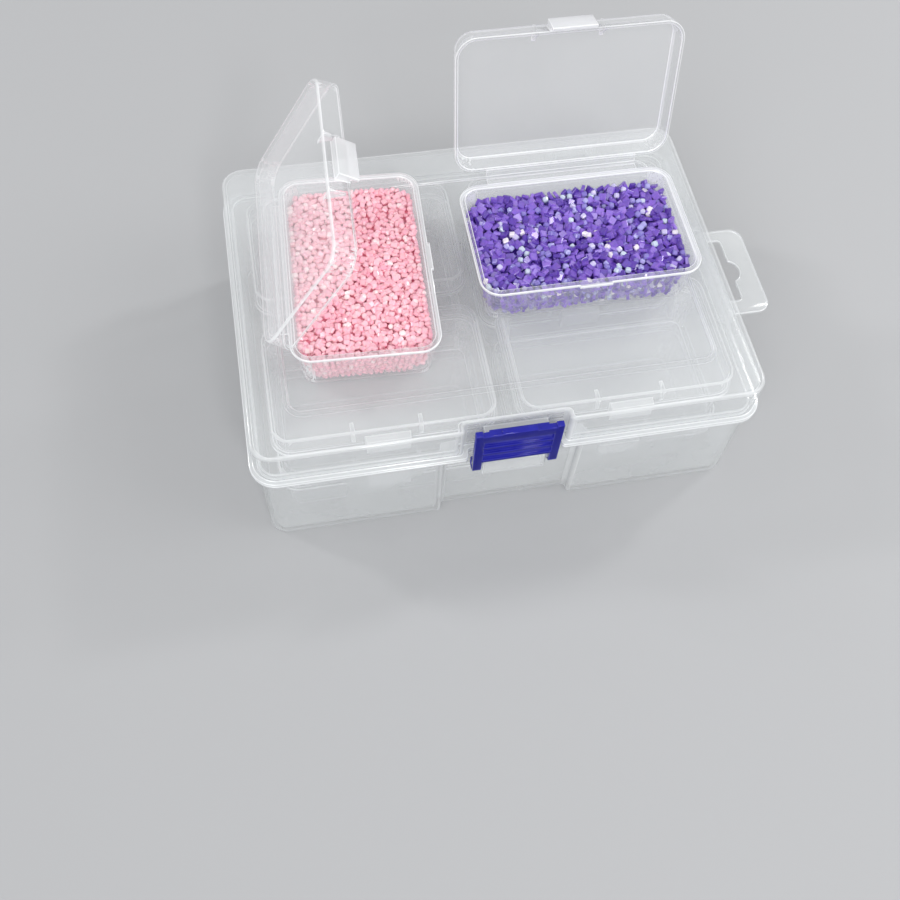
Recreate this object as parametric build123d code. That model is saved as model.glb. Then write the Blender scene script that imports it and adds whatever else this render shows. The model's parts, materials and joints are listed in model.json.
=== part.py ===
from build123d import *
import os

os.makedirs("parts", exist_ok=True)

# Lengths are in millimetres and angles in degrees. The table is z = 0, the latch is at the front, -Y,
# and the origin is the middle of the case's underside.

# The case: a deep base and a shallow hinged lid that meet at two thin flanges.
case_length = 191.2
case_width = 138.4
case_corner = 8.5
case_wall = 1.5
base_height = 45.0
lid_height = 16.6
base_inset = 1.2
flange_overhang = 1.75
flange_thickness = 1.25
lip_height = 2.0
lip_gap = 0.4
lid_edge_radius = 1.2
foot_edge_radius = 1.2

# The sunk field on the lid that the small boxes stand in, and how far it stops short of the lid's sides.
field_side_margin = 15.6
field_front_margin = 18.7
field_corner = 5.0
field_depth = 0.8

# The channel in the lid's front for the latch, and the wider one in the base's front.
lid_channel_width = 39.0
lid_channel_depth = 4.3
base_channel_width = 52.0
base_channel_depth = 3.5
channel_round = 1.6

# The case's two hinges: a bar between two ears on the base and a hook on the lid that clips over it.
hinge_spread = 110.0
hinge_bar_radius = 1.5
hinge_play = 0.05
hook_wall = 1.4
hook_width = 14.0
hook_mouth = 2.2
hook_arm_rise = 4.2
ear_thickness = 2.6
ear_drop = 9.0
moving_gap = 0.3

# The hang tab on the right, which folds down about two stub pins, with its euro slot.
tab_width = 44.0
tab_middle = 1.5
tab_reach = 18.7
tab_thickness = 1.2
tab_corner = 5.5
tab_axis_drop = 2.5
tab_axis_out = 2.45
tab_barrel_radius = 1.3
tab_pin_radius = 0.84
tab_pin_play = 0.06
tab_pin_length = 1.8
tab_lug_thickness = 2.4
tab_lug_wall = 0.8
slot_land = 2.7
slot_width = 5.7
slot_length = 31.4
slot_middle = 2.2
slot_corner = 1.6
slot_bump_radius = 5.5
slot_bump_rise = 3.5

# The latch: a plate on two legs whose eyes turn on the pins of a block on the base.
latch_width = 32.5
latch_thickness = 2.4
leg_width = 3.4
pivot_standoff = 4.8
pivot_drop = 6.2
pivot_pin_radius = 1.5
pivot_play = 0.08
eye_wall = 1.2
pin_recess = 0.4
plate_drop = 1.6
plate_rise = 0.4
window_margin = 1.6
window_depth = 1.0
window_top = 4.2
window_rib_height = 1.3
window_rib_count = 2
crest_width = 13.0
crest_rise = 0.6
knob_width = 2.8
knob_rise = 0.9
ridge_width = 22.0
ridge_height = 1.6
ridge_reach = 0.7
block_side_gap = 0.8
block_front_reach = 1.6
block_low_drop = 13.5
block_high_drop = 2.0
block_round = 1.0
catch_rib_width = 24.0
catch_rib_height = 2.0
catch_rib_drop = 3.6

# The small flip-lid boxes, all of one size, which fill the case in two layers, two columns and two rows.
side_gap = 4.4
column_gap = 7.0
front_gap = 6.1
row_gap = 10.2
back_gap = 9.1
headroom = 3.4
box_corner = 8.0
box_wall = 1.2
cover_height = 8.0
cover_gap = 0.2
tray_draft = 2.4
tray_rim_overhang = 1.0
tray_rim_thickness = 1.3
tray_foot_radius = 1.0
cover_draft = 1.0
cover_edge_radius = 0.8

# The small box's fold strips, snap tongue, catch lip and stiffening fins.
strip_length = 60.0
strip_thickness = 0.5
fold_reach = 3.0
fold_gap = 0.2
catch_length = 12.5
catch_reach = 0.8
tongue_length = 16.5
tongue_thickness = 1.2
tongue_gap = 0.3
tongue_below = 2.4
tongue_above = 5.4
fin_offset = 12.6
fin_depth = 5.5
fin_thickness = 1.0

# The two boxes on the lid: the gap to the field's side, the place along Y, the turn and the cover's opening.
purple_field_gap = 0.35
purple_y = 2.75
purple_turn_degrees = 0.0
purple_opening_degrees = 103.0
pink_field_gap = 4.9
pink_y = -1.0
pink_turn_degrees = 87.36
pink_opening_degrees = 59.5

# The beads in them lie a little under the rim, in a heap with low mounds.
bead_headroom = 4.8
bead_side_gap = 0.3
mound_pitch = 10.5
mound_height = 1.8
mound_foot = 8.4
mound_crest = 3.4

# The names of the boxes packed inside the case.
layer_names = ("lower", "upper")
column_names = ("left", "right")
row_names = ("front", "back")

# How near a point counts as being on a line.
on_line = 0.01

# Sizes that follow from those above.
case_height = base_height + lid_height
field_length = case_length - 2 * field_side_margin
field_width = case_width - 2 * field_front_margin
inside_length = case_length - 2 * (base_inset + case_wall)
inside_width = case_width - 2 * (base_inset + case_wall)
inside_height = case_height - field_depth - 2 * case_wall
box_length = (inside_length - 2 * side_gap - column_gap) / 2
box_width = (inside_width - front_gap - row_gap - back_gap) / 2
closed_height = (inside_height - headroom) / 2
tray_height = closed_height - cover_gap - cover_height
field_floor = case_height - field_depth
base_growth = -base_inset
lip_growth = -case_wall - lip_gap
lid_channel_floor = lid_channel_depth - case_width / 2
base_channel_floor = base_channel_depth - case_width / 2 + base_inset
flange_y = case_width / 2 + flange_overhang
flange_x = case_length / 2 + flange_overhang
hook_radius = hinge_bar_radius + hinge_play + hook_wall
hinge_y = flange_y + moving_gap + hook_radius
hinge_z = base_height
tab_axis_x = flange_x + tab_axis_out
tab_axis_z = base_height - tab_axis_drop
tab_outer_x = tab_axis_x + tab_reach
slot_inner_x = tab_axis_x + slot_land
pivot_y = base_channel_floor - pivot_standoff
pivot_z = base_height - pivot_drop
block_front_y = pivot_y - block_front_reach
block_width = latch_width - 2 * (leg_width + block_side_gap)
eye_radius = pivot_pin_radius + pivot_play + eye_wall
plate_front_y = pivot_y - eye_radius
plate_back_y = plate_front_y + latch_thickness
plate_low_z = base_height - plate_drop
plate_high_z = case_height + plate_rise
fold_y = box_width / 2 + fold_reach
fold_z = tray_height + cover_gap / 2
purple_place = (field_length / 2 - purple_field_gap - box_length / 2, purple_y)
pink_place = (pink_field_gap - field_length / 2 + box_width / 2, pink_y)
column_places = [side * (box_length + column_gap) / 2 for side in (-1, 1)]
front_row_y = front_gap + box_width / 2 - inside_width / 2
row_places = [front_row_y, front_row_y + box_width + row_gap]


def case_plan(growth, channel_width, channel_floor):
    """The case's rounded plan seen from above, grown all round, with a channel in its front side."""
    length = case_length + 2 * growth
    width = case_width + 2 * growth
    plan = RectangleRounded(length, width, case_corner + growth)
    depth = channel_floor + width / 2
    plan -= Pos(0, channel_floor - depth) * Rectangle(channel_width, 2 * depth)
    sides = [v for v in plan.vertices() if abs(abs(v.X) - channel_width / 2) < on_line and v.Y < 0]
    return fillet(sides, channel_round)


def lid_plan(growth):
    """The lid's plan, whose channel narrows and shallows as the plan grows."""
    return case_plan(growth, lid_channel_width - 2 * growth, lid_channel_floor - growth)


def base_plan(growth):
    """The base's plan, grown from its own outer wall."""
    return case_plan(base_growth + growth, base_channel_width - 2 * growth, base_channel_floor - growth)


def upright(plan, low_z, high_z):
    """A solid with upright walls over one plan."""
    return Pos(0, 0, low_z) * extrude(plan, amount=high_z - low_z)


def tapered(low_plan, high_plan, low_z, high_z):
    """A solid with straight sloping walls between two plans."""
    return loft([Pos(0, 0, low_z) * low_plan, Pos(0, 0, high_z) * high_plan], ruled=True)


def along_x(profile, length):
    """A profile drawn in the YZ plane, made into a bar that is centred on x = 0."""
    return extrude(Plane.YZ * profile, amount=length / 2, both=True)


def across_y(profile, low_y, high_y):
    """A profile drawn in the XZ plane, made into a bar between two places along Y."""
    return Pos(0, high_y, 0) * extrude(Plane.XZ * profile, amount=high_y - low_y)


def block(x_range, y_range, z_range):
    """A box between two limits on each axis."""
    sizes = [high - low for low, high in (x_range, y_range, z_range)]
    centre = [(high + low) / 2 for low, high in (x_range, y_range, z_range)]
    return Pos(*centre) * Box(*sizes)


def lowest_edges(solid):
    """The edges of a solid's lowest face."""
    return solid.faces().sort_by(Axis.Z)[0].edges()


def highest_edges(solid):
    """The edges of a solid's highest face."""
    return solid.faces().sort_by(Axis.Z)[-1].edges()


def at_both_hinges(piece):
    """A piece placed at each of the case's two hinges."""
    return [Pos(side * hinge_spread / 2, 0, 0) * piece for side in (-1, 1)]


def hinge_ears():
    """Two ears with the bar between them that a hook clips over."""
    root_y = case_width / 2 - base_inset - case_wall / 2
    gusset = Polygon(
        (root_y, hinge_z - moving_gap),
        (root_y, hinge_z - ear_drop),
        (hinge_y + hook_radius / 2, hinge_z - hook_radius),
        (hinge_y, hinge_z - moving_gap),
        align=None,
    )
    ear = along_x(gusset + Pos(hinge_y, hinge_z) * Circle(hook_radius), ear_thickness)
    offset = (hook_width + ear_thickness) / 2 + moving_gap
    bar = along_x(Pos(hinge_y, hinge_z) * Circle(hinge_bar_radius), 2 * offset)
    return Pos(-offset, 0, 0) * ear + Pos(offset, 0, 0) * ear + bar


def hinge_hook():
    """A hook on the lid, open below so that it clips over a bar."""
    root_y = case_width / 2 - case_wall / 2
    arm = Polygon(
        (root_y, hinge_z + moving_gap),
        (root_y, hinge_z + hook_arm_rise),
        (hinge_y, hinge_z + hook_radius),
        (hinge_y, hinge_z + moving_gap),
        align=None,
    )
    hook = arm + Pos(hinge_y, hinge_z) * Circle(hook_radius)
    hook -= Pos(hinge_y, hinge_z) * Circle(hinge_bar_radius + hinge_play)
    hook -= Pos(hinge_y, hinge_z - hook_radius) * Rectangle(hook_mouth, 2 * hook_radius)
    return along_x(hook, hook_width)


def tab_lugs():
    """The base's two lugs, each bored for one of the hang tab's stub pins."""
    root_x = case_length / 2 - base_inset - case_wall / 2
    lug_radius = tab_pin_radius + tab_pin_play + tab_lug_wall
    arm = Pos((root_x + tab_axis_x) / 2, tab_axis_z) * Rectangle(tab_axis_x - root_x, 2 * lug_radius)
    profile = arm + Pos(tab_axis_x, tab_axis_z) * Circle(lug_radius)
    profile -= Pos(tab_axis_x, tab_axis_z) * Circle(tab_pin_radius + tab_pin_play)
    low_end = tab_middle - tab_width / 2 - moving_gap
    high_end = tab_middle + tab_width / 2 + moving_gap
    return [
        across_y(profile, low_end - tab_lug_thickness, low_end),
        across_y(profile, high_end, high_end + tab_lug_thickness),
    ]


def hang_tab():
    """The flat tab with its rolled edge, stub pins and euro slot."""
    reach = tab_outer_x - tab_axis_x
    plan = Pos(tab_axis_x + reach / 2, tab_middle) * Rectangle(reach, tab_width)
    corners = [v for v in plan.vertices() if v.X > tab_outer_x - on_line]
    plan = fillet(corners, tab_corner)
    slot_outer_x = slot_inner_x + slot_width
    slot_x = (slot_inner_x + slot_outer_x) / 2
    slot = Pos(slot_x, slot_middle) * RectangleRounded(slot_width, slot_length, slot_corner)
    bump_x = slot_outer_x + slot_bump_rise - slot_bump_radius
    bump = Pos(bump_x, tab_middle) * Circle(slot_bump_radius)
    bump -= Pos(slot_inner_x - slot_bump_radius, tab_middle) * Rectangle(2 * slot_bump_radius, slot_length)
    plan -= slot
    plan -= bump
    tab = upright(plan, tab_axis_z - tab_thickness / 2, tab_axis_z + tab_thickness / 2)
    half = tab_width / 2
    barrel = Pos(tab_axis_x, tab_axis_z) * Circle(tab_barrel_radius)
    pins = Pos(tab_axis_x, tab_axis_z) * Circle(tab_pin_radius)
    tab += across_y(barrel, tab_middle - half, tab_middle + half)
    reach_y = half + moving_gap + tab_pin_length
    return tab + across_y(pins, tab_middle - reach_y, tab_middle + reach_y)


def latch_block():
    """The block on the base between the latch's legs, with a pin out of each side."""
    back_y = base_channel_floor + case_wall / 2
    depth = back_y - block_front_y
    height = block_low_drop - block_high_drop
    middle_z = base_height - (block_low_drop + block_high_drop) / 2
    profile = Pos((block_front_y + back_y) / 2, middle_z) * Rectangle(depth, height)
    front = [v for v in profile.vertices() if v.X < block_front_y + on_line]
    solid = along_x(fillet(front, block_round), block_width)
    pins = along_x(Pos(pivot_y, pivot_z) * Circle(pivot_pin_radius), latch_width - 2 * pin_recess)
    return solid + pins


def case_base():
    """The deep half with its flange, locating lip, hinge ears, tab lugs and latch block."""
    outside = upright(base_plan(0), 0, base_height)
    outside = fillet(lowest_edges(outside), foot_edge_radius)
    outside += upright(lid_plan(flange_overhang), base_height - flange_thickness, base_height)
    outside += upright(lid_plan(lip_growth), base_height - flange_thickness, base_height + lip_height)
    for ears in at_both_hinges(hinge_ears()):
        outside += ears
    for lug in tab_lugs():
        outside += lug
    outside += latch_block()
    inside = upright(base_plan(-case_wall), case_wall, base_height + lip_height)
    return outside - inside


def catch_rib():
    """The rib across the lid's channel, just behind the latch's ridge."""
    front_y = plate_back_y + ridge_reach + moving_gap
    back_y = lid_channel_floor + case_wall / 2
    high_z = case_height - catch_rib_drop
    half = catch_rib_width / 2
    return block((-half, half), (front_y, back_y), (high_z - catch_rib_height, high_z))


def case_lid():
    """The shallow half with its flange, sunk field, catch rib and hinge hooks."""
    shell = upright(lid_plan(0), base_height, case_height)
    shell = fillet(highest_edges(shell), lid_edge_radius)
    shell += upright(lid_plan(flange_overhang), base_height, base_height + flange_thickness)
    shell -= upright(lid_plan(-case_wall), base_height, case_height - case_wall)
    around_length = field_length + 2 * case_wall
    around_width = field_width + 2 * case_wall
    around = RectangleRounded(around_length, around_width, field_corner + case_wall)
    shell += upright(around, field_floor - case_wall, case_height - case_wall / 2)
    field = RectangleRounded(field_length, field_width, field_corner)
    shell -= upright(field, field_floor, case_height + field_depth)
    for hook in at_both_hinges(hinge_hook()):
        shell += hook
    return shell + catch_rib()


def latch():
    """The coloured latch as one moulding: plate, window ribs, top edge, legs and eyes."""
    half = latch_width / 2
    depth = (plate_front_y, plate_back_y)
    plate = block((-half, half), depth, (plate_low_z, plate_high_z))
    window_half = half - leg_width
    window_low = plate_low_z + window_margin
    window_high = plate_high_z - window_top
    window_y = (plate_front_y, plate_front_y + window_depth)
    plate -= block((-window_half, window_half), window_y, (window_low, window_high))
    for number in range(1, window_rib_count + 1):
        rib_z = window_low + (window_high - window_low) * number / (window_rib_count + 1)
        rib_span = (rib_z - window_rib_height / 2, rib_z + window_rib_height / 2)
        plate += block((-window_half, window_half), depth, rib_span)
    plate += block((-crest_width / 2, crest_width / 2), depth, (plate_high_z, plate_high_z + crest_rise))
    ridge_y = (plate_front_y, plate_back_y + ridge_reach)
    plate += block((-ridge_width / 2, ridge_width / 2), ridge_y, (plate_high_z - ridge_height, plate_high_z))
    shank_middle = (plate_front_y + plate_back_y) / 2
    shank = Pos(shank_middle, (pivot_z + plate_low_z) / 2) * Rectangle(latch_thickness, plate_low_z - pivot_z)
    leg = shank + Pos(pivot_y, pivot_z) * Circle(eye_radius)
    leg -= Pos(pivot_y, pivot_z) * Circle(pivot_pin_radius + pivot_play)
    for side in (-1, 1):
        plate += Pos(side * (half - leg_width / 2), 0, 0) * along_x(leg, leg_width)
        knob_x = sorted((side * half, side * (half - knob_width)))
        plate += block(knob_x, depth, (plate_high_z, plate_high_z + knob_rise))
    return plate


def box_plan(inset):
    """A small box's plan, drawn in by an amount all round."""
    return RectangleRounded(box_length - 2 * inset, box_width - 2 * inset, box_corner - inset)


def small_tray():
    """The lower half of a small box, standing at the origin with its fold towards +Y."""
    foot_inset = tray_rim_overhang + tray_draft
    outside = tapered(box_plan(foot_inset), box_plan(tray_rim_overhang), 0, tray_height)
    outside = fillet(lowest_edges(outside), tray_foot_radius)
    rim_z = (tray_height - tray_rim_thickness, tray_height)
    outside += upright(box_plan(0), *rim_z)
    strip_y = (box_width / 2 - tray_rim_overhang, fold_y - fold_gap)
    strip_z = (tray_height - strip_thickness, tray_height)
    outside += block((-strip_length / 2, strip_length / 2), strip_y, strip_z)
    catch_y = (-box_width / 2 - catch_reach, -box_width / 2 + catch_reach)
    outside += block((-catch_length / 2, catch_length / 2), catch_y, rim_z)
    low_inset = foot_inset + box_wall - tray_draft * box_wall / tray_height
    inside = tapered(box_plan(low_inset), box_plan(tray_rim_overhang + box_wall), box_wall, tray_height)
    return outside - inside


def tongue():
    """The snap tongue on a cover's free side, hanging outside the tray's catch lip."""
    back_y = -box_width / 2 - catch_reach - tongue_gap
    front_y = back_y - tongue_thickness
    half = tongue_length / 2
    high_z = tray_height + tongue_above
    plate = block((-half, half), (front_y, back_y), (tray_height - tongue_below, high_z))
    web_z = (tray_height + tongue_gap, high_z)
    return plate + block((-half, half), (front_y, -box_width / 2 + box_wall), web_z)


def small_cover():
    """The upper half of a small box, closed over a tray that stands at the origin."""
    low_z = tray_height + cover_gap
    roof_z = closed_height - box_wall
    cover = tapered(box_plan(0), box_plan(cover_draft), low_z, closed_height)
    cover = fillet(highest_edges(cover), cover_edge_radius)
    strip_y = (box_width / 2 - box_wall, fold_y - fold_gap)
    cover += block((-strip_length / 2, strip_length / 2), strip_y, (low_z, low_z + strip_thickness))
    cover += tongue()
    cover -= tapered(box_plan(box_wall), box_plan(cover_draft + box_wall), low_z, roof_z)
    wall_y = -box_width / 2 + box_wall / 2
    fin = Polygon(
        (wall_y, roof_z + box_wall / 2),
        (wall_y, low_z + box_wall),
        (wall_y + box_wall, low_z + box_wall),
        (wall_y + fin_depth, roof_z),
        (wall_y + fin_depth, roof_z + box_wall / 2),
        align=None,
    )
    for side in (-1, 1):
        cover += Pos(side * fin_offset, 0, 0) * along_x(fin, fin_thickness)
    return cover


def bead_fill():
    """The heap of beads in a tray that stands at the origin, as one solid with low mounds on its top."""
    top = tray_height - bead_headroom - mound_height
    slope = tray_draft / tray_height
    wall_inset = tray_rim_overhang + tray_draft + box_wall + bead_side_gap
    heap = tapered(box_plan(wall_inset - slope * box_wall), box_plan(wall_inset - slope * top), box_wall, top)
    foot = Rectangle(mound_foot, mound_foot)
    crest = Rectangle(mound_crest, mound_crest)
    mound = tapered(foot, crest, top, top + mound_height)
    room = 2 * (wall_inset + mound_foot / 2)
    along = int((box_length - room) / mound_pitch) + 1
    across = int((box_width - room) / mound_pitch) + 1
    for place in GridLocations(mound_pitch, mound_pitch, along, across):
        heap += place * mound
    return heap


def opened(cover, opening):
    """A cover turned up about its fold line by an angle from closed."""
    return cover.rotate(Axis((0, fold_y, fold_z), (-1, 0, 0)), opening)


def standing(piece, place, turn):
    """A small box's piece moved to where the box stands on the lid."""
    return Pos(place[0], place[1], field_floor) * Rot(0, 0, turn) * piece


def save(piece, name):
    """Write one node."""
    export_step(piece, f"parts/{name}.step")


tray = small_tray()
cover = small_cover()
beads = bead_fill()

save(case_base(), "case_base")
save(case_lid(), "case_lid")
save(latch(), "latch")
save(hang_tab(), "hang_tab")

save(standing(tray, purple_place, purple_turn_degrees), "purple_tray")
save(standing(opened(cover, purple_opening_degrees), purple_place, purple_turn_degrees), "purple_cover")
save(standing(beads, purple_place, purple_turn_degrees), "purple_beads")
save(standing(tray, pink_place, pink_turn_degrees), "pink_tray")
save(standing(opened(cover, pink_opening_degrees), pink_place, pink_turn_degrees), "pink_cover")
save(standing(beads, pink_place, pink_turn_degrees), "pink_beads")

for layer, layer_name in enumerate(layer_names):
    for column, column_name in enumerate(column_names):
        for row, row_name in enumerate(row_names):
            z = case_wall + layer * closed_height
            place = Pos(column_places[column], row_places[row], z)
            name = f"{layer_name}_{column_name}_{row_name}"
            save(place * tray, f"{name}_tray")
            save(place * cover, f"{name}_cover")
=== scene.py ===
import bmesh
import bpy
import json
import math
import random
from mathutils import Euler, Matrix, Vector, noise

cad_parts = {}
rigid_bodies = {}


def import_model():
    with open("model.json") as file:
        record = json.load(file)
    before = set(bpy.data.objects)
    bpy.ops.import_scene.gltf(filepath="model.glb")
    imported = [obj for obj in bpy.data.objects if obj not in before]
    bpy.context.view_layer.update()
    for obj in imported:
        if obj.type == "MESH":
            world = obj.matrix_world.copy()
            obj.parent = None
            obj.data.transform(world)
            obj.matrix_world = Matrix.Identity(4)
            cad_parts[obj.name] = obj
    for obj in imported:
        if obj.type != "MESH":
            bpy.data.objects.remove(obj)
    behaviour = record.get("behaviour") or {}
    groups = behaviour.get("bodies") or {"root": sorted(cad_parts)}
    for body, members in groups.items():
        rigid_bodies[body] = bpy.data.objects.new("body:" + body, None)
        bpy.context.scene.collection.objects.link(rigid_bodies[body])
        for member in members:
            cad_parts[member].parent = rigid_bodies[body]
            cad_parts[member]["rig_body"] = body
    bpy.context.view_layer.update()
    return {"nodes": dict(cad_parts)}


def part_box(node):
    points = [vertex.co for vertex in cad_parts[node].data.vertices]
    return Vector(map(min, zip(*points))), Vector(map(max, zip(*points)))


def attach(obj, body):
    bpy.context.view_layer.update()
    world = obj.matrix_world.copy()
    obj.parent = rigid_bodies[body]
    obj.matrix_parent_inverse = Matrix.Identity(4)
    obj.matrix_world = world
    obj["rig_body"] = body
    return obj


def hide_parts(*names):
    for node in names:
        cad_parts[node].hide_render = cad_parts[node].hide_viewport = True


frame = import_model()
nodes = frame["nodes"]
bpy.ops.object.select_all(action="DESELECT")


# The case is two thin shells of frosted polypropylene, a deep base and a shallow lid, joined by two clip
# hinges at the back. The plastic is milky where it is seen edge on, and it has faint flow clouds and a fine
# grain from the mould. The hang tab is moulded in the same plastic and turns on two stub pins.
case_colour = (0.84, 0.87, 0.88, 1)
case_cloud_colour = (0.90, 0.925, 0.93, 1)
# Whiter colour of the case's rims and rounded edges: partly the real density of a wall seen along its
# length, partly a painted highlight.
case_rim_and_highlight_white = (0.96, 0.98, 1.0, 1)
case_cover = (0.24, 0.72)
case_rim_cover = (0.38, 0.66)
case_edge_highlight_cover = (0.62, 0.85)
case_roughness = (0.08, 0.15)
case_cloud_size = 0.035
case_grain_size = 0.0012
case_edge_radius = 0.00035
wall_ior = 1.49
rim_ior = 1.9
edge_ior = 2.3
wall_steepness = 4.4
cloud_range = (0.3, 0.7)
milk_range = (0.8, 1.2)
grain_strength = 0.05
ripple_depth = 0.0002
rim_width = 0.0018
round_radius = 0.003
small_face = 0.00014
bevel_share = 0.4
merge_distance = 0.00001
flat_angle = math.radians(1)
sharp_angle = math.radians(30)
smooth_angle = math.radians(35)


def new_plastic(name, ior):
    """A new material, with its nodes and its shader."""
    material = bpy.data.materials.new(name)
    material.use_nodes = True
    shader = material.node_tree.nodes["Principled BSDF"]
    shader.inputs["IOR"].default_value = ior
    return material, material.node_tree, shader


def cloudy(tree, size, detail):
    """A cloudy pattern that stays with the piece, in blotches of about one size."""
    place = tree.nodes.new("ShaderNodeTexCoord")
    pattern = tree.nodes.new("ShaderNodeTexNoise")
    pattern.inputs["Scale"].default_value = 1 / size
    pattern.inputs["Detail"].default_value = detail
    tree.links.new(place.outputs["Object"], pattern.inputs["Vector"])
    return pattern


def tinted(tree, pattern, colour, other_colour):
    """The two colours, mixed after a pattern."""
    tint = tree.nodes.new("ShaderNodeMix")
    tint.data_type = "RGBA"
    tint.inputs["A"].default_value = colour
    tint.inputs["B"].default_value = other_colour
    tree.links.new(pattern.outputs["Fac"], tint.inputs["Factor"])
    return tint.outputs["Result"]


def ranged(tree, value, low, high, value_low=0, value_high=1):
    """A number that goes from low to high with a value."""
    reach = tree.nodes.new("ShaderNodeMapRange")
    reach.inputs["From Min"].default_value = value_low
    reach.inputs["From Max"].default_value = value_high
    reach.inputs["To Min"].default_value = low
    reach.inputs["To Max"].default_value = high
    tree.links.new(value, reach.inputs["Value"])
    return reach.outputs["Result"]


def rippled(tree, pattern, strength):
    """A slightly uneven surface after a pattern."""
    bump = tree.nodes.new("ShaderNodeBump")
    bump.inputs["Strength"].default_value = strength
    bump.inputs["Distance"].default_value = ripple_depth
    tree.links.new(pattern.outputs["Fac"], bump.inputs["Height"])
    return bump.outputs["Normal"]


def frosted_plastic(name, colour, cloud_colour, cover_range, ior, roughness, cloud_size, grain_size):
    """Milky clear plastic, thin where it is seen square on and dense where it is seen along its wall."""
    material, tree, shader = new_plastic(name, ior)
    cloud = cloudy(tree, cloud_size, 3)
    tree.links.new(tinted(tree, cloud, colour, cloud_colour), shader.inputs["Base Color"])
    dull = ranged(tree, cloud.outputs["Fac"], *roughness, *cloud_range)
    tree.links.new(dull, shader.inputs["Roughness"])

    along_wall = tree.nodes.new("ShaderNodeLayerWeight")
    along_wall.inputs["Blend"].default_value = 0.5
    steep = tree.nodes.new("ShaderNodeMath")
    steep.operation = "POWER"
    steep.inputs[1].default_value = wall_steepness
    tree.links.new(along_wall.outputs["Facing"], steep.inputs[0])
    clouded = tree.nodes.new("ShaderNodeMath")
    clouded.operation = "MULTIPLY"
    tree.links.new(ranged(tree, steep.outputs["Value"], *cover_range), clouded.inputs[0])
    tree.links.new(ranged(tree, cloud.outputs["Fac"], *milk_range), clouded.inputs[1])
    tree.links.new(clouded.outputs["Value"], shader.inputs["Alpha"])

    grain = cloudy(tree, grain_size, 2)
    tree.links.new(rippled(tree, grain, grain_strength), shader.inputs["Normal"])
    return material


def smooth_band(first):
    """The faces that run on smoothly from a first one, and the length of sharp edge round them."""
    band = [first]
    seen = {first}
    border = 0
    for face in band:
        for edge in face.edges:
            if edge.calc_face_angle() > sharp_angle:
                border += edge.calc_length()
                continue
            for neighbour in edge.link_faces:
                if neighbour not in seen:
                    seen.add(neighbour)
                    band.append(neighbour)
    return band, border


def tight_round(face):
    """Whether a face is part of a round with a radius under round_radius."""
    turns = [edge.calc_face_angle() for edge in face.edges if edge.calc_face_angle() < sharp_angle]
    return max(turns, default=0) * round_radius > 2 * face.calc_area() / face.calc_perimeter()


def plan_edges(mesh, radius):
    """Mark narrow bands, small faces and tight rounds as rims, and say how far each edge can be rounded."""
    shape = bmesh.new()
    shape.from_mesh(mesh)
    width_of = {}
    for first in shape.faces:
        if first in width_of:
            continue
        band, border = smooth_band(first)
        area = sum(face.calc_area() for face in band)
        width = 2 * area / border
        for face in band:
            width_of[face] = width
            # These faces take the second finish, which is paler than the body: a painted highlight along
            # rims, rounds and ribs. On clear wall ends it is also the real density of the wall seen along
            # its length.
            if width < rim_width or area < small_face or tight_round(face):
                face.material_index = 1
    weight = shape.edges.layers.float.new("bevel_weight_edge")
    for edge in shape.edges:
        if edge.calc_face_angle() > sharp_angle:
            room = bevel_share * min(width_of[face] for face in edge.link_faces)
            edge[weight] = min(1, room / radius)
    shape.to_mesh(mesh)
    shape.free()


def moulding(node, materials, radius):
    """A merged copy of a node with its edges rounded, which stands in for the node."""
    bpy.ops.object.select_all(action="DESELECT")
    bpy.ops.mesh.primitive_cube_add()
    piece = bpy.context.object
    piece.name = node + "_moulding"
    piece.data = nodes[node].data.copy()
    piece.data.name = piece.name
    bpy.ops.object.mode_set(mode="EDIT")
    bpy.ops.mesh.select_all(action="SELECT")
    bpy.ops.mesh.remove_doubles(threshold=merge_distance)
    bpy.ops.mesh.dissolve_limited(angle_limit=flat_angle)
    bpy.ops.object.mode_set(mode="OBJECT")
    piece.data.materials.clear()
    for material in materials:
        piece.data.materials.append(material)
    plan_edges(piece.data, radius)
    rounding = piece.modifiers.new("rounding", "BEVEL")
    rounding.limit_method = "WEIGHT"
    rounding.width = radius
    rounding.segments = 2
    rounding.use_clamp_overlap = False
    # The rounded edges take the last finish, which is painted paler as a painted highlight.
    rounding.material = len(materials) - 1
    bpy.ops.object.modifier_apply(modifier="rounding")
    bpy.ops.object.shade_smooth_by_angle(angle=smooth_angle)
    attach(piece, nodes[node]["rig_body"])
    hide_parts(node)


# The rim finish goes on wall ends, small faces and tight rounds, and the edge finish goes on the rounded
# edges. Both are whiter and denser than the body. On the wall ends this is partly the real density of
# plastic seen along its wall. Elsewhere it is a painted highlight for the bright lines the edges catch.
case_finishes = (
    ("case_plastic", case_colour, case_cloud_colour, case_cover, wall_ior),
    ("case_rim_and_highlight", case_rim_and_highlight_white, case_cloud_colour, case_rim_cover, rim_ior),
    ("case_edge_highlight", case_rim_and_highlight_white, case_rim_and_highlight_white, case_edge_highlight_cover, edge_ior),
)
case_materials = [
    frosted_plastic(*finish, case_roughness, case_cloud_size, case_grain_size) for finish in case_finishes
]
for node in ("case_base", "case_lid", "hang_tab"):
    moulding(node, case_materials, case_edge_radius)


# The small boxes are moulded in thinner and clearer polypropylene, each as a tray and a cover that are
# joined by a fold. Eight of them lie shut inside the case, and two stand open on its lid.
box_colour = (0.84, 0.86, 0.88, 1)
box_cloud_colour = (0.90, 0.915, 0.93, 1)
# Whiter colour of the boxes' rims and rounded edges: partly the real density of a wall seen along its
# length, partly a painted highlight.
box_rim_and_highlight_white = (0.97, 0.98, 1.0, 1)
box_cover = (0.12, 0.72)
box_rim_cover = (0.56, 0.84)
box_edge_highlight_cover = (0.80, 0.96)
box_roughness = (0.06, 0.13)
box_cloud_size = 0.022
box_grain_size = 0.0009
box_edge_radius = 0.0003
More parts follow.
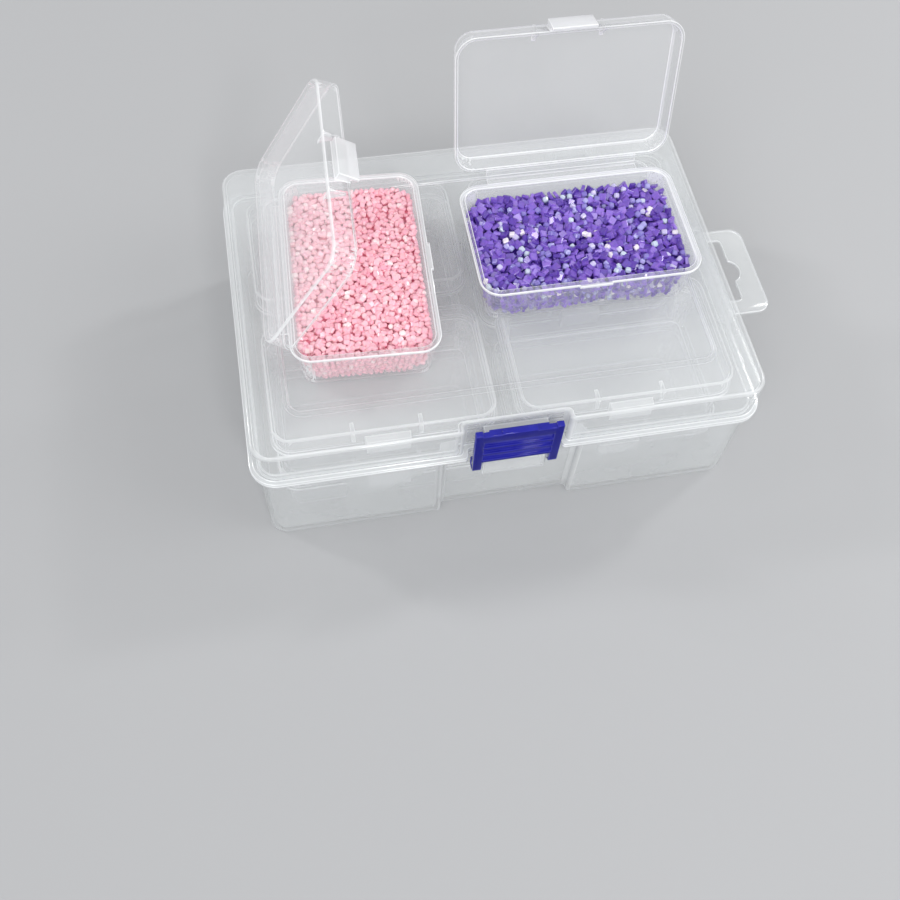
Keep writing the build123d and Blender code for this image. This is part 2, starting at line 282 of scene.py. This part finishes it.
# As on the case, the rim and edge finishes are whiter and denser than the body. On the wall ends this is
# partly real density. On the rounds and rounded edges it is a painted highlight.
box_finishes = (
    ("box_plastic", box_colour, box_cloud_colour, box_cover, wall_ior),
    ("box_rim_and_highlight", box_rim_and_highlight_white, box_cloud_colour, box_rim_cover, rim_ior),
    ("box_edge_highlight", box_rim_and_highlight_white, box_rim_and_highlight_white, box_edge_highlight_cover, edge_ior),
)
box_materials = [
    frosted_plastic(*finish, box_roughness, box_cloud_size, box_grain_size) for finish in box_finishes
]
for node in nodes:
    if node.endswith("_tray") or node.endswith("_cover"):
        moulding(node, box_materials, box_edge_radius)


# The latch is one blue moulding in a harder, glossy plastic. It turns on two pins at the front of the base
# and snaps over a rib in the lid. The mould leaves its edges a little round. These rounds and the narrow
# ribs are painted a paler blue, a painted highlight for the light they catch.
latch_deep_blue = (0.002, 0.003, 0.165, 1)
latch_pale_blue = (0.005, 0.006, 0.235, 1)
# Paler blue of the latch's rounded edges and narrow ribs: a painted highlight.
latch_highlight_blue = (0.020, 0.022, 0.38, 1)
latch_roughness = (0.12, 0.20)
latch_edge_roughness = (0.10, 0.16)
latch_ior = 1.5
latch_edge_ior = 2.0
latch_shine = 0.18
latch_ripple = 0.06
latch_cloud = 0.006
latch_edge_cloud = 0.004
latch_edge_radius = 0.00035


def glossy_plastic(name, colour, light_colour, roughness, ior, cloud_size):
    """Coloured hard plastic with faint flow clouds and a slight orange-peel surface."""
    material, tree, shader = new_plastic(name, ior)
    shader.inputs["Specular IOR Level"].default_value = latch_shine
    cloud = cloudy(tree, cloud_size, 4)
    tree.links.new(tinted(tree, cloud, colour, light_colour), shader.inputs["Base Color"])
    tree.links.new(ranged(tree, cloud.outputs["Fac"], *roughness), shader.inputs["Roughness"])
    tree.links.new(rippled(tree, cloud, latch_ripple), shader.inputs["Normal"])
    return material


# The second finish, on the rounded edges and narrow ribs, is a paler blue: a painted highlight along the
# ridges.
latch_finishes = (
    ("latch_blue", latch_deep_blue, latch_pale_blue, latch_roughness, latch_ior, latch_cloud),
    ("latch_edge_highlight", latch_pale_blue, latch_highlight_blue, latch_edge_roughness, latch_edge_ior, latch_edge_cloud),
)
latch_materials = [glossy_plastic(*finish) for finish in latch_finishes]
moulding("latch", latch_materials, latch_edge_radius)


# The beads lie loose in the two open trays, to a little under the rim. The purple ones are small square
# drills, with some smaller round ones that have a pearly coat, and the pink ones are pale chips. The outer
# beads are single ones, and a plain core fills the heap and closes the gaps between them. The core is
# coloured darker than the beads, as painted shade in the gaps where the deeper beads would lie in shade.
fill_half_long = 0.0396
fill_half_short = 0.0240
fill_slope = 0.0018
fill_corner = 0.0044
core_inset = 0.0013
edge_inset = 0.36
layer_step = 0.72
edge_slack = 0.12
inner_slack = 0.42
mound_height = 0.0010
mounds_per_metre = 130
loose_height = 0.0006
floor_tilt = 0.4
top_tilt = 0.7
free_tilt = 1.6
bead_numbers = (0.05, 1)
bead_growth = (0.9, 1.1)
pearl_start = 0.78
bead_ior = 1.52
coat_weight = 0.4
coat_roughness = 0.22
speckle_size = 1 / 900
speckle_share = 0.3


def bead_plastic(name, colours, roughness):
    """Glossy bead plastic whose colour goes in steps with each bead's own number."""
    material, tree, shader = new_plastic(name, bead_ior)
    shader.inputs["Coat Weight"].default_value = coat_weight
    shader.inputs["Coat Roughness"].default_value = coat_roughness
    number = tree.nodes.new("ShaderNodeAttribute")
    number.attribute_name = "bead_number"
    ramp = tree.nodes.new("ShaderNodeValToRGB")
    ramp.color_ramp.interpolation = "CONSTANT"
    ramp.color_ramp.elements[0].color = colours[0][1]
    ramp.color_ramp.elements.remove(ramp.color_ramp.elements[1])
    for start, colour in colours[1:]:
        ramp.color_ramp.elements.new(start).color = colour
    tree.links.new(number.outputs["Fac"], ramp.inputs["Fac"])
    speckle = cloudy(tree, speckle_size, 2)
    shade = tree.nodes.new("ShaderNodeMix")
    shade.data_type = "RGBA"
    shade.blend_type = "SOFT_LIGHT"
    shade.inputs["Factor"].default_value = speckle_share
    tree.links.new(ramp.outputs["Color"], shade.inputs["A"])
    tree.links.new(speckle.outputs["Color"], shade.inputs["B"])
    tree.links.new(shade.outputs["Result"], shader.inputs["Base Color"])
    tree.links.new(ranged(tree, speckle.outputs["Fac"], *roughness), shader.inputs["Roughness"])
    return material


def bead(size, shape, edge):
    """One bead: a small block with rounded edges."""
    bpy.ops.object.select_all(action="DESELECT")
    bpy.ops.mesh.primitive_cube_add(size=size, calc_uvs=False)
    bpy.ops.object.mode_set(mode="EDIT")
    bpy.ops.transform.resize(value=shape)
    bpy.ops.mesh.bevel(offset=edge, segments=1)
    bpy.ops.object.mode_set(mode="OBJECT")
    return bpy.context.object


def give_number(mesh, number):
    """Write a bead's number on its faces, where the material reads it."""
    tag = mesh.attributes.new("bead_number", "FLOAT", "FACE")
    tag.data.foreach_set("value", [number] * len(mesh.polygons))


def heap_outline(rise, inset):
    """Half the length and half the width of the heap at a share of its height."""
    narrowing = fill_slope * (1 - rise) + inset
    return fill_half_long - narrowing, fill_half_short - narrowing


def layer_spots(half_long, half_short, pitch, whole, chance):
    """Loosely spaced spots over a whole layer of the heap, or only round its edge."""
    steps_long = int(2 * half_long / pitch)
    steps_short = int(2 * half_short / pitch)
    for i in range(steps_long + 1):
        for j in range(steps_short + 1):
            inner = min(i, j, steps_long - i, steps_short - j) > 0
            if inner and not whole:
                continue
            slack = pitch * (inner_slack if inner else edge_slack)
            u = 2 * half_long * i / steps_long - half_long + chance.uniform(-slack, slack)
            v = 2 * half_short * j / steps_short - half_short + chance.uniform(-slack, slack)
            u = max(-half_long, min(half_long, u))
            v = max(-half_short, min(half_short, v))
            over_u = abs(u) - (half_long - fill_corner)
            over_v = abs(v) - (half_short - fill_corner)
            if min(over_u, over_v) <= 0 or math.hypot(over_u, over_v) <= fill_corner:
                yield u, v, inner


def bead_places(height, bead_size, pitch, seed):
    """Places for the beads that show: the heap's top in two layers, its sides and its lowest layer."""
    chance = random.Random(seed)
    layers = int(height / (layer_step * pitch))
    top = layers - 1
    for layer in range(layers):
        half_long, half_short = heap_outline((layer + 0.5) / layers, edge_inset * bead_size)
        whole = layer == 0 or layer >= top - 1
        for u, v, inner in layer_spots(half_long, half_short, pitch, whole, chance):
            z = (layer + 0.5) * height / layers - height / 2
            if layer >= top - 1:
                mound = noise.noise(Vector((u, v, seed)) * mounds_per_metre)
                z += mound_height * mound + chance.uniform(-loose_height, loose_height)
            tilt = {0: floor_tilt, top: top_tilt}.get(layer, free_tilt) if inner else free_tilt
            angles = (chance.uniform(-tilt, tilt), chance.uniform(-tilt, tilt), chance.uniform(0, math.tau))
            yield Vector((u, v, z)), angles, chance.uniform(*bead_numbers), chance.uniform(*bead_growth)


def heap_core(height, depth):
    """The plain core of a heap, a little inside the outer beads, coloured darker as painted shade in the
    gaps between them.
    """
    bpy.ops.object.select_all(action="DESELECT")
    bpy.ops.mesh.primitive_cube_add(size=2, calc_uvs=False)
    core = bpy.context.object
    weights = core.data.attributes.new("bevel_weight_edge", "FLOAT", "EDGE")
    for edge in core.data.edges:
        low, high = (core.data.vertices[end].co.z for end in edge.vertices)
        weights.data[edge.index].value = abs(high - low) / 2
    for vertex in core.data.vertices:
        on_top = vertex.co.z > 0
        half_long, half_short = heap_outline(1 if on_top else 0, core_inset)
        z = height / 2 - depth if on_top else core_inset - height / 2
        vertex.co = (vertex.co.x * half_long, vertex.co.y * half_short, z)
    rounding = core.modifiers.new("rounding", "BEVEL")
    rounding.limit_method = "WEIGHT"
    rounding.width = fill_corner
    rounding.segments = 4
    bpy.ops.object.modifier_apply(modifier="rounding")
    # Number 0 gives the core the first, darker step of the colours: painted shade in the gaps.
    give_number(core.data, 0.0)
    return core


def pour(name, node, beads, bead_size, pitch, core_depth, turn, seed, material):
    """Copy the beads to their places, join them with the core, and stand the heap in its tray."""
    low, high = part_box(node)
    height = high.z - low.z
    copies = [heap_core(height, core_depth)]
    for place, angles, number, growth in bead_places(height, bead_size, pitch, seed):
        model = beads[0] if number < pearl_start else beads[1]
        copy = model.copy()
        copy.data = model.data.copy()
        turned = Euler(angles).to_matrix().to_4x4()
        copy.data.transform(Matrix.Translation(place) @ turned @ Matrix.Scale(growth, 4))
        give_number(copy.data, number)
        bpy.context.collection.objects.link(copy)
        copies.append(copy)
    bpy.ops.object.select_all(action="DESELECT")
    for copy in copies:
        copy.select_set(True)
    bpy.context.view_layer.objects.active = copies[0]
    bpy.ops.object.join()
    heap = bpy.context.object
    heap.name = name
    heap.data.transform(Matrix.Translation((low + high) / 2) @ Matrix.Rotation(turn, 4, "Z"))
    heap.data.materials.clear()
    heap.data.materials.append(material)
    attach(heap, nodes[node]["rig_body"])
    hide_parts(node)
    for model in beads:
        bpy.data.objects.remove(model)


purple_roughness = (0.18, 0.34)
purple_steps = [
    # The first step is the core: darker than any bead, as painted shade in the gaps between the beads.
    (0.0, (0.050, 0.018, 0.27, 1)),
    (0.04, (0.170, 0.085, 0.48, 1)),
    (0.28, (0.220, 0.118, 0.57, 1)),
    (0.50, (0.105, 0.046, 0.37, 1)),
    (0.70, (0.280, 0.165, 0.64, 1)),
    (0.78, (0.25, 0.21, 0.58, 1)),
    (0.83, (0.40, 0.38, 0.74, 1)),
    (0.87, (0.22, 0.17, 0.54, 1)),
    (0.92, (0.58, 0.54, 0.80, 1)),
    (0.95, (0.56, 0.64, 0.76, 1)),
    (0.975, (0.80, 0.74, 0.82, 1)),
]
square_drill = bead(size=0.0029, shape=(1, 1, 0.42), edge=0.00018)
pearl = bead(size=0.0021, shape=(1, 1, 0.85), edge=0.0004)
pour(
    name="purple_drills",
    node="purple_beads",
    beads=[square_drill, pearl],
    bead_size=0.0024,
    pitch=0.0025,
    core_depth=0.0026,
    turn=0.0,
    seed=3,
    material=bead_plastic("purple_beads", purple_steps, purple_roughness),
)

pink_roughness = (0.20, 0.38)
pink_steps = [
    # The first step is the core: darker than any bead, as painted shade in the gaps between the chips.
    (0.0, (0.78, 0.20, 0.29, 1)),
    (0.04, (0.93, 0.49, 0.57, 1)),
    (0.35, (0.95, 0.54, 0.62, 1)),
    (0.60, (0.91, 0.45, 0.54, 1)),
    (0.78, (0.96, 0.60, 0.66, 1)),
    (0.95, (1.0, 0.78, 0.80, 1)),
]
flat_chip = bead(size=0.0024, shape=(1, 0.86, 0.6), edge=0.00038)
thick_chip = bead(size=0.0022, shape=(1, 0.9, 0.8), edge=0.0005)
pour(
    name="pink_chips",
    node="pink_beads",
    beads=[flat_chip, thick_chip],
    bead_size=0.0021,
    pitch=0.0020,
    core_depth=0.0017,
    turn=math.radians(87.36),
    seed=8,
    material=bead_plastic("pink_beads", pink_steps, pink_roughness),
)


# The box stands on a plain pale floor, under an even pale sky. A broad sun and a broad lamp light it
# softly, and three small lamps put glints on the edges of the plastic. These glints add to the painted
# highlight of the whiter edge finishes.
floor_colour = (0.44, 0.445, 0.455, 1)
floor_roughness = 0.75
floor_size = 6
sky_colour = (0.90, 0.905, 0.915, 1)
sky_strength = 0.55
sun_side = (-0.65, -0.95, 0.90)
sun_width = math.radians(32)
sun_strength = 1.25
lamp_aim = Vector((0, 0, 0.05))
right_lamp_size = 0.7
right_lamp_power = 4
glint_size = 0.14
glint_power = 3

bpy.ops.object.select_all(action="DESELECT")
bpy.ops.mesh.primitive_plane_add(size=floor_size)
floor = bpy.context.object
floor.name = "floor"
floor_paint = bpy.data.materials.new("floor_paint")
floor_paint.use_nodes = True
floor_shader = floor_paint.node_tree.nodes["Principled BSDF"]
floor_shader.inputs["Base Color"].default_value = floor_colour
floor_shader.inputs["Roughness"].default_value = floor_roughness
floor.data.materials.append(floor_paint)

sky = bpy.data.worlds.new("sky")
sky.use_nodes = True
sky.node_tree.nodes["Background"].inputs["Color"].default_value = sky_colour
sky.node_tree.nodes["Background"].inputs["Strength"].default_value = sky_strength
bpy.context.scene.world = sky

sun = bpy.data.objects.new("broad_sun", bpy.data.lights.new("broad_sun", "SUN"))
sun.data.energy = sun_strength
sun.data.angle = sun_width
sun.rotation_euler = Vector(sun_side).to_track_quat("Z", "Y").to_euler()
bpy.context.collection.objects.link(sun)


def soft_lamp(name, place, size, power):
    """A square lamp that faces the box."""
    lamp = bpy.data.objects.new(name, bpy.data.lights.new(name, "AREA"))
    lamp.data.size = size
    lamp.data.energy = power
    lamp.location = place
    lamp.rotation_euler = (lamp_aim - Vector(place)).to_track_quat("-Z", "Y").to_euler()
    bpy.context.collection.objects.link(lamp)


soft_lamp("right_lamp", (0.95, -0.35, 0.85), right_lamp_size, right_lamp_power)
soft_lamp("front_glint", (0.10, -0.95, 0.85), glint_size, glint_power)
soft_lamp("left_glint", (-0.90, 0.50, 0.80), glint_size, glint_power)
soft_lamp("right_glint", (0.90, 0.40, 0.80), glint_size, glint_power)


# The camera looks down on the front of the case from a little to its left. A line of sight passes through
# many clear walls, so it is let through more of them than usual.
camera_place = Vector((-0.070891, -0.247725, 0.378164))
camera_aim = Vector((-0.02618, -0.07469, 0.0616))
camera_roll = math.radians(4.706)
camera_lens = 41.378
film_width = 36
nearest_view = 0.01
clear_walls = 32
camera = bpy.data.objects.new("camera", bpy.data.cameras.new("camera"))
camera.data.lens = camera_lens
camera.data.sensor_width = film_width
camera.data.clip_start = nearest_view
camera.location = camera_place
look = (camera_aim - camera_place).to_track_quat("-Z", "Y").to_matrix()
camera.rotation_euler = (look @ Matrix.Rotation(camera_roll, 3, "Z")).to_euler()
bpy.context.collection.objects.link(camera)
bpy.context.scene.camera = camera
bpy.context.scene.cycles.transparent_max_bounces = clear_walls
bpy.context.scene.view_settings.view_transform = "Standard"
